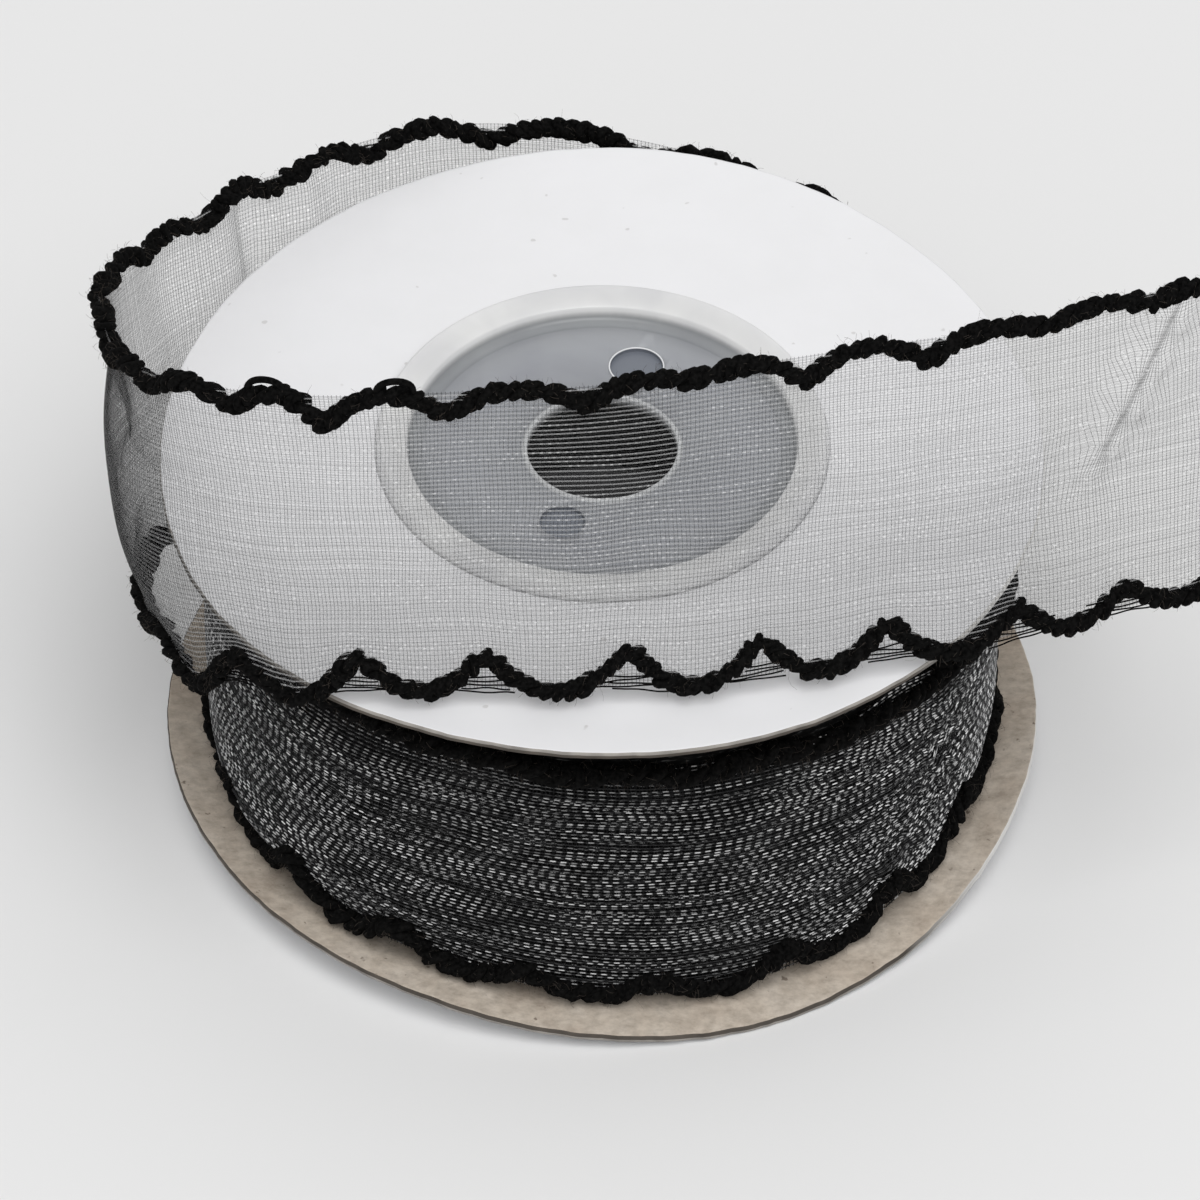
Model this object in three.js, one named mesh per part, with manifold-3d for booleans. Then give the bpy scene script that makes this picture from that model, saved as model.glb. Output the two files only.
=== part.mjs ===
// A roll of black organza ribbon with crocheted yarn edges, wound on a paper-flanged spool that
// lies flat. One end is unwound: it leaves the roll at the back, climbs over the left of the upper
// board and crosses it at the front, standing on its edge, and its cut end hangs free at the right.
// Millimetres, +Z up. Heights are above the surface that the spool lies on.
import * as THREE from "three";
import { mergeVertices } from "three/addons/utils/BufferGeometryUtils.js";
import Module from "manifold-3d";

const wasm = await Module();
wasm.setup();

// Spool
const boardRadius = 43.6;
const boardThickness = 0.8;
const boardHoleRadius = 18.9;
const flatRadius = 21.8; // inside this the plastic hub keeps each board flat
const curlPower = 1.6; // how late the curl of a board sets in towards its rim
const lowerBoardUnderside = 2.2;
const upperBoardTop = 40.5;
const gap = 0.3; // between neighbouring pieces

// Hub, two equal mouldings that meet halfway up the barrel
const barrelRadius = 18.6;
const barrelWall = 1.0;
const webThickness = 1.0;
const webHeight = 0.75; // of the web's outer face above the board
const boreRadius = 7.4;
const lipRadius = 21.7;
const lipHeight = 2.2;
const lipRim = 1.4; // width of the lip's flat rim
const lipChamfer = 0.3;
const dishFoot = 3.7; // from the lip's edge to where its inner slope meets the web
const dimpleRadius = 2.7;
const dimpleDepth = 0.5;
const dimpleOffset = 11.7;
const dimpleAzimuth = 72;

// Ribbon
const crestWidth = 33.6; // between the two yarn edges, crest to crest
const yarnRadius = 1.2;
const scallopPitch = 13;
const stepsPerScallop = 5;
const notchDepth = 3.0;
const notchPower = 1.2; // how narrow a notch is against the scallops beside it
const sheetThickness = 1.0;
const sheetToYarn = 2.0; // from the middle of the yarn to the cloth's edge

// Winding
const windingInner = 19.2;
const windingMid = 29;
const shoulderRadius = 37.8; // behind the yarn edges
const shoulderRound = 0.7; // how far the cloth's own edge is rolled in
const shoulderSlope = 0.4;
const bulgeRise = 4; // height over which the cloth reaches its full radius
const windingOuter = 40.0;
const ovalness = 0.25;
const unevenness = 0.15;
const edgingRadius = 39.4; // of the yarn's middle
const scallopsPerTurn = 19;
const lowerPhase = 0.3; // of the scallops round the roll
const upperPhase = 0.05;
const upperSlip = 0.6; // the upper edge has slipped down, most at slipAzimuth
const slipSwing = 0.5;
const slipAzimuth = 280;

// How far each board's outer face has curled up or down at its rim, from its flat middle.
const upperRim = [
  { azimuth: 10, height: -1.5 },
  { azimuth: 35, height: -1.3 },
  { azimuth: 60, height: -0.1 },
  { azimuth: 85, height: 0.7 },
  { azimuth: 120, height: -0.1 },
  { azimuth: 160, height: -0.8 },
  { azimuth: 205, height: -1.5 },
  { azimuth: 250, height: 0.2 },
  { azimuth: 290, height: -0.2 },
  { azimuth: 335, height: -0.9 },
];
const lowerRim = [
  { azimuth: 10, height: 1.3 },
  { azimuth: 40, height: -1.2 },
  { azimuth: 85, height: -1.6 },
  { azimuth: 125, height: -0.7 },
  { azimuth: 165, height: 1.2 },
  { azimuth: 200, height: 1.9 },
  { azimuth: 245, height: 1.1 },
  { azimuth: 265, height: -0.6 },
  { azimuth: 291, height: -2.1 },
  { azimuth: 312, height: -1.3 },
  { azimuth: 332, height: 1.0 },
  { azimuth: 350, height: 2.2 },
];

// The loose end from the roll to its cut end: the place of its lower yarn edge, and how far its
// upper yarn edge leans from straight above it.
const looseStations = [
  { x: 32.2, y: 27.1, z: 3.5, leanX: 0, leanY: 0 },
  { x: 21.0, y: 40.8, z: 3.6, leanX: 0, leanY: 0 },
  { x: 9.0, y: 45.5, z: 4.6, leanX: 0, leanY: 0.2 },
  { x: -4.0, y: 46.0, z: 7.3, leanX: 0, leanY: 0.4 },
  { x: -16.0, y: 43.0, z: 9.9, leanX: -0.3, leanY: 0.8 },
  { x: -27.2, y: 34.2, z: 12.9, leanX: -1.8, leanY: 1.4 },
  { x: -32.8, y: 27.0, z: 15.0, leanX: -2.3, leanY: 1.9 },
  { x: -38.0, y: 18.5, z: 17.2, leanX: -3.2, leanY: 2.8 },
  { x: -41.4, y: 11.2, z: 19.8, leanX: -4.0, leanY: 3.9 },
  { x: -43.8, y: 4.6, z: 22.4, leanX: -4.0, leanY: 5.1 },
  { x: -45.2, y: -2.5, z: 25.4, leanX: -3.7, leanY: 5.9 },
  { x: -44.9, y: -12.0, z: 29.6, leanX: -4.3, leanY: 6.8 },
  { x: -41.0, y: -25.0, z: 35.4, leanX: -4.7, leanY: 7.2 },
  { x: -35.0, y: -32.4, z: 39.4, leanX: -3.9, leanY: 6.6 },
  { x: -25.0, y: -36.6, z: 42.1, leanX: -2.2, leanY: 5.8 },
  { x: -14.0, y: -37.2, z: 42.3, leanX: -0.6, leanY: 6.8 },
  { x: 0.0, y: -37.1, z: 42.3, leanX: 0, leanY: 8.0 },
  { x: 12.0, y: -36.0, z: 42.2, leanX: 0.4, leanY: 10.2 },
  { x: 24.0, y: -33.5, z: 42.2, leanX: 0.2, leanY: 10.4 },
  { x: 36.0, y: -30.9, z: 42.0, leanX: -0.2, leanY: 10.4 },
  { x: 48.0, y: -26.8, z: 42.0, leanX: -0.6, leanY: 9.8 },
  { x: 64.0, y: -20.5, z: 42.0, leanX: -0.4, leanY: 9.2 },
];

// Where the yarn edges of the loose end dip into the ribbon between two scallops, measured along
// the ribbon from the roll.
const lowerNotches = [
  { along: -6, depth: 2.0 },
  { along: 7, depth: 2.4 },
  { along: 20, depth: 2.0 },
  { along: 33, depth: 2.6 },
  { along: 46, depth: 2.2 },
  { along: 59, depth: 2.6 },
  { along: 72, depth: 2.0 },
  { along: 85, depth: 2.4 },
  { along: 97, depth: 2.2 },
  { along: 108.5, depth: 1.8 },
  { along: 119.9, depth: 1.6 },
  { along: 134.5, depth: 2.0 },
  { along: 149.5, depth: 1.9 },
  { along: 163.4, depth: 3.4 },
  { along: 176.2, depth: 3.8 },
  { along: 190.4, depth: 4.1 },
  { along: 203.5, depth: 3.9 },
  { along: 215.9, depth: 3.7 },
  { along: 228.8, depth: 3.2 },
  { along: 239.6, depth: 2.6 },
  { along: 252, depth: 2.8 },
  { along: 265, depth: 2.6 },
];
const upperNotches = [
  { along: -4, depth: 2.2 },
  { along: 9, depth: 2.4 },
  { along: 22, depth: 2.0 },
  { along: 35.2, depth: 2.4 },
  { along: 51.9, depth: 2.3 },
  { along: 65.2, depth: 2.0 },
  { along: 77.9, depth: 1.8 },
  { along: 88.9, depth: 1.5 },
  { along: 99.4, depth: 1.4 },
  { along: 109, depth: 1.2 },
  { along: 118.8, depth: 1.6 },
  { along: 130, depth: 1.4 },
  { along: 141.5, depth: 1.5 },
  { along: 153.3, depth: 1.9 },
  { along: 162.1, depth: 3.3 },
  { along: 173, depth: 1.2 },
  { along: 186.4, depth: 1.0 },
  { along: 196.5, depth: 0.7 },
  { along: 207.4, depth: 1.9 },
  { along: 219.5, depth: 1.6 },
  { along: 231.7, depth: 1.0 },
  { along: 242.6, depth: 1.1 },
  { along: 254.5, depth: 1.3 },
  { along: 267, depth: 1.2 },
];

// The soft folds of the loose end. Each runs from one place on the cloth to another, along the
// ribbon from the roll and up from the lower yarn edge, and stands out towards the roll's axis
// where its depth is negative.
const folds = [
  { along0: 127, up0: 8, along1: 131, up1: 26, halfWidth: 17, depth: 1.4 },
  { along0: 262, up0: 32, along1: 251, up1: 17, halfWidth: 3.0, depth: 1.6 },
  { along0: 206, up0: 9, along1: 246, up1: 15, halfWidth: 5.0, depth: -1.1 },
  { along0: 68, up0: 33, along1: 60, up1: 12, halfWidth: 4.5, depth: 1.2 },
  { along0: 96, up0: 32, along1: 92, up1: 10, halfWidth: 5.0, depth: 1.0 },
];

const radians = THREE.MathUtils.degToRad;

// A smooth closed line through rows of azimuth and height.
function heightAt(rows, azimuth) {
  const count = rows.length;
  const turn = THREE.MathUtils.euclideanModulo(azimuth, 360);
  let next = rows.findIndex((row) => row.azimuth > turn);
  if (next < 0) {
    next = count;
  }
  const row = (k) => {
    const { azimuth, height } = rows[(k + count) % count];
    return { azimuth: azimuth + 360 * Math.floor(k / count), height };
  };
  const [before, from, to, after] = [row(next - 2), row(next - 1), row(next), row(next + 1)];
  const span = to.azimuth - from.azimuth;
  const t = (turn - from.azimuth) / span;
  const slopeFrom = (span * (to.height - before.height)) / (to.azimuth - before.azimuth);
  const slopeTo = (span * (after.height - from.height)) / (after.azimuth - from.azimuth);
  return (
    from.height * (1 + 2 * t) * (1 - t) ** 2 +
    slopeFrom * t * (1 - t) ** 2 +
    to.height * t * t * (3 - 2 * t) +
    slopeTo * t * t * (t - 1)
  );
}

// The curl grows from nothing at the hub to its full height at the rim.
function curl(rows, radius, azimuth) {
  const out = Math.max(0, (radius - flatRadius) / (boardRadius - flatRadius));
  return heightAt(rows, azimuth) * out ** curlPower;
}

const upperBoardAt = (radius, azimuth) => upperBoardTop + curl(upperRim, radius, azimuth);
const lowerBoardAt = (radius, azimuth) => lowerBoardUnderside + curl(lowerRim, radius, azimuth);

// How far the yarn dips into the ribbon at a share t of the way from one notch to the next: a
// wide rounded scallop with a narrow notch at either end.
const notchShape = (t) => (1 - Math.abs(Math.sin(Math.PI * t))) ** notchPower;

// The dip round the roll, where the scallops are even and no two notches of one depth.
function windingDip(along, phase) {
  const turn = along / scallopPitch + phase;
  const share = 0.75 + 0.25 * Math.sin(5.1 * Math.round(turn) + 9 * phase);
  return notchDepth * share * notchShape(turn);
}

// The dip of the loose end, from its rows of notches.
function looseDip(notches, along) {
  const next = notches.findIndex((notch) => notch.along > along);
  const [from, to] = [notches[next - 1], notches[next]];
  const t = (along - from.along) / (to.along - from.along);
  return (t < 0.5 ? from.depth : to.depth) * notchShape(t);
}

// A closed mesh from sections, each a closed loop of the same number of points. The sections
// form a ring, or a chain whose first and last sections are capped.
function skin(sections, ring) {
  const points = sections[0].length;
  const positions = sections.flat().flatMap((point) => [point.x, point.y, point.z]);
  const faces = [];
  const quad = (a, b, c, d) => faces.push(a, b, c, a, c, d);
  const last = ring ? sections.length : sections.length - 1;
  for (let i = 0; i < last; i++) {
    const here = i * points;
    const there = ((i + 1) % sections.length) * points;
    for (let j = 0; j < points; j++) {
      const k = (j + 1) % points;
      quad(here + j, there + j, there + k, here + k);
    }
  }
  if (!ring) {
    const end = (sections.length - 1) * points;
    for (let j = 0; j < points / 2 - 1; j++) {
      const across = points - 1 - j;
      quad(j, j + 1, across - 1, across);
      quad(end + j, end + across, end + across - 1, end + j + 1);
    }
  }
  const geometry = new THREE.BufferGeometry();
  geometry.setAttribute("position", new THREE.Float32BufferAttribute(positions, 3));
  geometry.setIndex(faces);
  return geometry;
}

// A ring round the spool's axis, from a function that gives its section at an azimuth as
// [radius, height] pairs, counter-clockwise when seen with the axis at the left.
function turned(count, sectionAt) {
  const sections = [];
  for (let i = 0; i < count; i++) {
    const azimuth = (360 * i) / count;
    const direction = new THREE.Vector2(Math.cos(radians(azimuth)), Math.sin(radians(azimuth)));
    sections.push(
      sectionAt(azimuth).map(([r, z]) => new THREE.Vector3(r * direction.x, r * direction.y, z)),
    );
  }
  return skin(sections, true);
}

// A round tube along a list of points.
function tube(path, radius, sides, ring) {
  const count = path.length;
  const at = (i) => (ring ? path[(i + count) % count] : path[Math.min(Math.max(i, 0), count - 1)]);
  const sections = path.map((point, i) => {
    const along = at(i + 1).clone().sub(at(i - 1)).normalize();
    const side = new THREE.Vector3(0, 0, 1).cross(along).normalize();
    const up = along.clone().cross(side);
    const loop = [];
    for (let j = 0; j < sides; j++) {
      const angle = (2 * Math.PI * (j + 0.5)) / sides;
      loop.push(
        point
          .clone()
          .addScaledVector(side, radius * Math.sin(angle))
          .addScaledVector(up, radius * Math.cos(angle)),
      );
    }
    return loop;
  });
  return skin(sections, ring);
}

// Boards
const boardRadii = [boardHoleRadius, flatRadius, 29, 35, 40, boardRadius];
const boardSections = 60;

function board(outerFaceAt, thicknessDown) {
  return turned(boardSections, (azimuth) => {
    const face = boardRadii.map((r) => [r, outerFaceAt(r, azimuth)]);
    const back = boardRadii.map((r) => [r, outerFaceAt(r, azimuth) + thicknessDown]);
    return thicknessDown < 0 ? [...back, ...face.reverse()] : [...face, ...back.reverse()];
  });
}

// Hub half, its board's outer face at height 0 and its barrel pointing down. The lip is dished.
function hubHalf() {
  const barrelEnd = -(upperBoardTop - lowerBoardUnderside) / 2 + gap / 2;
  const profile = [
    [boreRadius, webHeight],
    [boreRadius, webHeight - webThickness],
    [barrelRadius - barrelWall, webHeight - webThickness],
    [barrelRadius - barrelWall, barrelEnd],
    [barrelRadius, barrelEnd],
    [barrelRadius, gap],
    [lipRadius, gap],
    [lipRadius, lipHeight - lipChamfer],
    [lipRadius - lipChamfer, lipHeight],
    [lipRadius - lipChamfer - lipRim, lipHeight],
    [barrelRadius + lipChamfer, webHeight + lipChamfer],
    [lipRadius - dishFoot, webHeight],
    [boreRadius, webHeight],
  ].map(([r, z]) => new THREE.Vector2(r, z));
  const moulding = solidOf(new THREE.LatheGeometry(profile, 48).rotateX(Math.PI / 2));
  const dimples = [dimpleAzimuth, dimpleAzimuth + 180].map((azimuth) => {
    const place = new THREE.Vector3(dimpleOffset, 0, webHeight);
    place.applyAxisAngle(new THREE.Vector3(0, 0, 1), radians(azimuth));
    const cutter = new THREE.CylinderGeometry(dimpleRadius, dimpleRadius, 2 * dimpleDepth, 24);
    return solidOf(cutter.rotateX(Math.PI / 2).translate(place.x, place.y, place.z));
  });
  return geometryOf(moulding.subtract(dimples[0]).subtract(dimples[1]));
}

function solidOf(geometry) {
  geometry.deleteAttribute("normal");
  geometry.deleteAttribute("uv");
  const merged = mergeVertices(geometry, 1e-4);
  return new wasm.Manifold(
    new wasm.Mesh({
      numProp: 3,
      vertProperties: new Float32Array(merged.attributes.position.array),
      triVerts: new Uint32Array(merged.index.array),
    }),
  );
}

function geometryOf(solid) {
  const mesh = solid.getMesh();
  const geometry = new THREE.BufferGeometry();
  const positions = new Float32Array(mesh.vertProperties);
  geometry.setAttribute("position", new THREE.BufferAttribute(positions, 3));
  geometry.setIndex([...mesh.triVerts]);
  return geometry;
}

const windingSections = scallopsPerTurn * stepsPerScallop;

// Winding: one solid of its wound form, waisted where the yarn edges lie, a little out of round.
function windingSection(azimuth) {
  const along = (azimuth / 360) * scallopsPerTurn * scallopPitch;
  const floor = (r) => lowerBoardAt(r, azimuth) + boardThickness + gap;
  const ceiling = (r) => upperBoardAt(r, azimuth) - boardThickness - gap;
  const lowerYarn = lowerEdgingHeight(azimuth, along) + sheetToYarn;
  const upperYarn = upperEdgingHeight(azimuth, along) - sheetToYarn;
  const oval = ovalness * Math.sin(radians(2 * azimuth + 30));
  const uneven = unevenness * Math.sin(radians(5 * azimuth));
  const outer = windingOuter + oval + uneven;
  return [
    [windingInner, floor(windingInner)],
    [windingMid, floor(windingMid)],
    [shoulderRadius, floor(shoulderRadius)],
    [shoulderRadius, lowerYarn - shoulderSlope],
    [outer - shoulderRound, lowerYarn],
    [outer, lowerYarn + bulgeRise],
    [outer, upperYarn - bulgeRise],
    [outer - shoulderRound, upperYarn],
    [shoulderRadius, upperYarn + shoulderSlope],
    [shoulderRadius, ceiling(shoulderRadius)],
    [windingMid, ceiling(windingMid)],
    [windingInner, ceiling(windingInner)],
  ];
}

// The yarn edges of the outermost turn. The lower one stands on the board; the upper one has
// slipped down a little where the boards gape.
function lowerEdgingHeight(azimuth, along) {
  const onBoard = lowerBoardAt(edgingRadius, azimuth) + boardThickness + gap + yarnRadius;
  return onBoard + windingDip(along, lowerPhase);
}

function upperEdgingHeight(azimuth, along) {
  const slip = upperSlip + slipSwing * Math.cos(radians(azimuth - slipAzimuth));
  const underBoard = upperBoardAt(edgingRadius, azimuth) - boardThickness - gap - yarnRadius;
  return underBoard - slip - windingDip(along, upperPhase);
}

function windingEdging(heightOf) {
  const steps = windingSections;
  const path = [];
  for (let i = 0; i < steps; i++) {
    const azimuth = (360 * i) / steps;
    const height = heightOf(azimuth, (i * scallopPitch) / stepsPerScallop);
    path.push(
      new THREE.Vector3(
        edgingRadius * Math.cos(radians(azimuth)),
        edgingRadius * Math.sin(radians(azimuth)),
        height,
      ),
    );
  }
  return tube(path, yarnRadius, 6, true);
}

// Loose end. Its lower and upper crest lines are smooth curves through the stations; the cloth
// is ruled between them, apart from its folds.
const lowerCrest = new THREE.CatmullRomCurve3(
  looseStations.map((s) => new THREE.Vector3(s.x, s.y, s.z)),
  false,
  "centripetal",
);
const upperCrest = new THREE.CatmullRomCurve3(
  looseStations.map((s) => {
    const rise = Math.sqrt(crestWidth ** 2 - s.leanX ** 2 - s.leanY ** 2);
    return new THREE.Vector3(s.x + s.leanX, s.y + s.leanY, s.z + rise);
  }),
  false,
  "centripetal",
);

// Even steps along the ribbon, as values of the curves' parameter.
function evenParameters() {
  const fine = 2000;
  const middle = (t) => lowerCrest.getPoint(t).add(upperCrest.getPoint(t)).multiplyScalar(0.5);
  const lengths = [0];
  for (let i = 1; i <= fine; i++) {
    lengths.push(lengths[i - 1] + middle(i / fine).distanceTo(middle((i - 1) / fine)));
  }
  const steps = Math.round((lengths[fine] * stepsPerScallop) / scallopPitch);
  const parameters = [];
  let i = 0;
  for (let k = 0; k <= steps; k++) {
    const wanted = (lengths[fine] * k) / steps;
    while (i < fine && lengths[i + 1] < wanted) {
      i++;
    }
    const share = i < fine ? (wanted - lengths[i]) / (lengths[i + 1] - lengths[i]) : 0;
    parameters.push(Math.min(1, (i + share) / fine));
  }
  return { parameters, length: lengths[fine] };
}

const loose = evenParameters();
const looseStep = loose.length / (loose.parameters.length - 1);

// How far the folds move the cloth at one place. A fold fades out at its ends and to its sides.
function foldDepth(along, up) {
  let depth = 0;
  for (const fold of folds) {
    const runAlong = fold.along1 - fold.along0;
    const runUp = fold.up1 - fold.up0;
    const length = Math.hypot(runAlong, runUp);
    const t = ((along - fold.along0) * runAlong + (up - fold.up0) * runUp) / length ** 2;
    const aside = ((along - fold.along0) * runUp - (up - fold.up0) * runAlong) / length;
    const lengthwise = Math.max(0, 1 - (2 * t - 1) ** 4 / 2);
    depth += fold.depth * lengthwise * Math.exp(-((aside / fold.halfWidth) ** 2));
  }
  return depth;
}

// A point of the cloth's middle surface, moved off it by aside along its normal.
function clothPoint(index, up, aside) {
  const t = loose.parameters[index];
  const low = lowerCrest.getPoint(t);
  const across = upperCrest.getPoint(t).sub(low);
  const forward = lowerCrest.getTangent(t).add(upperCrest.getTangent(t));
  const normal = forward.cross(across).normalize();
  const along = index * looseStep;
  return low
    .addScaledVector(across, up / crestWidth)
    .addScaledVector(normal, aside + foldDepth(along, up));
}

const lowerYarnUp = (along) => looseDip(lowerNotches, along);
const upperYarnUp = (along) => crestWidth - looseDip(upperNotches, along);

function looseCloth() {
  const strips = 6;
  const sections = loose.parameters.map((_, index) => {
    const along = index * looseStep;
    const bottom = lowerYarnUp(along) + sheetToYarn;
    const top = upperYarnUp(along) - sheetToYarn;
    const face = [];
    const back = [];
    for (let j = 0; j <= strips; j++) {
      const up = bottom + ((top - bottom) * j) / strips;
      face.push(clothPoint(index, up, sheetThickness / 2));
      back.unshift(clothPoint(index, up, -sheetThickness / 2));
    }
    return [...face, ...back];
  });
  return skin(sections, false);
}

function looseEdging(upOf) {
  const path = loose.parameters.map((_, index) => clothPoint(index, upOf(index * looseStep), 0));
  return tube(path, yarnRadius, 6, false);
}

// Finishes
const paper = new THREE.MeshStandardMaterial({ color: 0xe9e9ea, roughness: 0.6, metalness: 0 });
const chipboard = new THREE.MeshStandardMaterial({ color: 0xb3a899, roughness: 0.9, metalness: 0 });
const plastic = new THREE.MeshStandardMaterial({ color: 0xb4b8bd, roughness: 0.35, metalness: 0 });
const organza = new THREE.MeshStandardMaterial({ color: 0x26262a, roughness: 0.5, metalness: 0 });
const yarn = new THREE.MeshStandardMaterial({ color: 0x0c0c0d, roughness: 0.9, metalness: 0 });

const roll = new THREE.Group();

function piece(name, geometry, material) {
  const mesh = new THREE.Mesh(geometry, material);
  mesh.name = name;
  roll.add(mesh);
  return mesh;
}

piece("board_upper", board(upperBoardAt, -boardThickness), paper);
piece("board_lower", board(lowerBoardAt, boardThickness), chipboard);
piece("hub_upper", hubHalf(), plastic).position.z = upperBoardTop;
const hubLower = piece("hub_lower", hubHalf(), plastic);
hubLower.rotation.x = Math.PI;
hubLower.position.z = lowerBoardUnderside;
piece("winding", turned(windingSections, windingSection), organza);
piece("winding_edging_lower", windingEdging(lowerEdgingHeight), yarn);
piece("winding_edging_upper", windingEdging(upperEdgingHeight), yarn);
piece("loose_end", looseCloth(), organza);
piece("loose_edging_lower", looseEdging(lowerYarnUp), yarn);
piece("loose_edging_upper", looseEdging(upperYarnUp), yarn);

// The part's origin is under the middle of its box.
const box = new THREE.Box3().setFromObject(roll, true);
const middle = box.getCenter(new THREE.Vector3());
roll.position.set(-middle.x, -middle.y, -box.min.z);

export default roll;
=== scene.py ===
import math
import bpy
import numpy as np
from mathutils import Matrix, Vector


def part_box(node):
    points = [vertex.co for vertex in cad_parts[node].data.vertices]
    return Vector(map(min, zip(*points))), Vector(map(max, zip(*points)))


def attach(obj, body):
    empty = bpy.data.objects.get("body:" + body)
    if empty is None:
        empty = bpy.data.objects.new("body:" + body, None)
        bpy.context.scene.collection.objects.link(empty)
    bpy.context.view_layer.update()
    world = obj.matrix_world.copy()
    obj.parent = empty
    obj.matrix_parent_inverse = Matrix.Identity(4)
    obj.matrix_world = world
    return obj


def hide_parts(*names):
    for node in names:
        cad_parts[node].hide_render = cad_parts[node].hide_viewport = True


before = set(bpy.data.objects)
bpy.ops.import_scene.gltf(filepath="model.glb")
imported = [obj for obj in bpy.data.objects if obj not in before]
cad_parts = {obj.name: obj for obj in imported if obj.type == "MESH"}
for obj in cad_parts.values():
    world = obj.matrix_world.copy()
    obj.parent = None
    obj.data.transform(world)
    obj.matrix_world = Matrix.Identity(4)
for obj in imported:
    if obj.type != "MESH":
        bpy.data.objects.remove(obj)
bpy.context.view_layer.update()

scene = bpy.context.scene

# Camera
# The spool lies on a table and is looked down on from 43.5 degrees through a long lens, from 1.3 m away.
board_low, board_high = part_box("board_lower")
spool_axis = ((board_low[0] + board_high[0]) / 2, (board_low[1] + board_high[1]) / 2)


def on_spool(points):
    """Millimetres from the spool's axis and the table, as metres in the part's frame."""
    return np.asarray(points, float) / 1000 + np.array([spool_axis[0], spool_axis[1], 0.0])


camera_elevation = math.radians(43.51)
camera_distance = 1.3
camera_target = Vector(on_spool((-0.22, 0.0, 19.56)))
camera = bpy.data.objects.new("camera", bpy.data.cameras.new("camera"))
camera.data.sensor_fit = "HORIZONTAL"
camera.data.sensor_width = 36
camera.data.lens = 391.6
camera.data.clip_start = 0.05
camera.data.clip_end = 20
towards_camera = Vector((0, -math.cos(camera_elevation), math.sin(camera_elevation)))
camera.location = camera_target + camera_distance * towards_camera
camera.rotation_euler = (math.pi / 2 - camera_elevation, 0, 0)
scene.collection.objects.link(camera)
scene.camera = camera
scene.view_settings.view_transform = "Standard"


# Table and light
# A sheet of pale grey card under a bright even dome, with one large soft lamp above and in front
# of the spool.
def material(name, color, roughness, **sockets):
    """A material whose nodes are then led into its Principled shader."""
    made = bpy.data.materials.new(name)
    made.use_nodes = True
    shader = made.node_tree.nodes["Principled BSDF"]
    shader.inputs["Base Color"].default_value = (*color, 1)
    shader.inputs["Roughness"].default_value = roughness
    for socket, value in sockets.items():
        shader.inputs[socket.replace("_", " ")].default_value = value
    return made


def mesh_object(name, points, faces, materials):
    """An object whose mesh has these points, given in millimetres on the spool."""
    mesh = bpy.data.meshes.new(name)
    mesh.from_pydata(on_spool(points).tolist(), [], faces)
    for each in materials:
        mesh.materials.append(each)
    made = bpy.data.objects.new(name, mesh)
    scene.collection.objects.link(made)
    return made


card = material("table_card", (0.80, 0.80, 0.80), 0.9)
card_half = 2500.0
card_corners = [(card_half * x, card_half * y, 0) for x, y in ((-1, -1), (1, -1), (1, 1), (-1, 1))]
table = mesh_object("table", card_corners, [(0, 1, 2, 3)], [card])

dome = bpy.data.worlds.new("dome")
scene.world = dome
dome.use_nodes = True
dome.node_tree.nodes["Background"].inputs["Color"].default_value = (1, 1, 1, 1)
dome.node_tree.nodes["Background"].inputs["Strength"].default_value = 0.63

lamp_data = bpy.data.lights.new("soft_lamp", "AREA")
lamp_data.shape = "SQUARE"
lamp_data.size = 1.1
lamp_data.energy = 15.0
lamp = bpy.data.objects.new("soft_lamp", lamp_data)
lamp.location = (0.15, -0.75, 1.5)
lamp.rotation_euler = (-lamp.location.normalized()).to_track_quat("-Z", "Y").to_euler()
scene.collection.objects.link(lamp)


# Boards
# Two discs die-cut from grey chipboard with white paper on the outer face only. They have curled
# a little, and their cut edge is raw and slightly ragged.
board_radius = 43.6
board_thickness = 0.8
board_hole_radius = 19.5
flat_radius = 21.8
curl_power = 1.6
lower_board_underside = 2.2
upper_board_top = 40.5
upper_rim = (
    (10, -1.5), (35, -1.3), (60, -0.1), (85, 0.7), (120, -0.1),
    (160, -0.8), (205, -1.5), (250, 0.2), (290, -0.2), (335, -0.9),
)
lower_rim = (
    (10, 1.3), (40, -1.2), (85, -1.6), (125, -0.7), (165, 1.2), (200, 1.9),
    (245, 1.1), (265, -0.6), (291, -2.1), (312, -1.3), (332, 1.0), (350, 2.2),
)


def height_at(rows, azimuth):
    """A smooth closed line through rows of azimuth and height."""
    count = len(rows)
    turn = azimuth % 360
    following = next((k for k, row in enumerate(rows) if row[0] > turn), count)

    def row(k):
        return rows[k % count][0] + 360 * (k // count), rows[k % count][1]

    before, start, end, after = (row(following + k) for k in (-2, -1, 0, 1))
    span = end[0] - start[0]
    t = (turn - start[0]) / span
    slope_start = span * (end[1] - before[1]) / (end[0] - before[0])
    slope_end = span * (after[1] - start[1]) / (after[0] - start[0])
    return (
        start[1] * (1 + 2 * t) * (1 - t) ** 2
        + slope_start * t * (1 - t) ** 2
        + end[1] * t * t * (3 - 2 * t)
        + slope_end * t * t * (t - 1)
    )


def board_height(rows, flat, radius, azimuth):
    out = max(0.0, (radius - flat_radius) / (board_radius - flat_radius))
    return flat + height_at(rows, azimuth) * out**curl_power


def upper_board_at(radius, azimuth):
    return board_height(upper_rim, upper_board_top, radius, azimuth)


def lower_board_at(radius, azimuth):
    return board_height(lower_rim, lower_board_underside, radius, azimuth)


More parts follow.
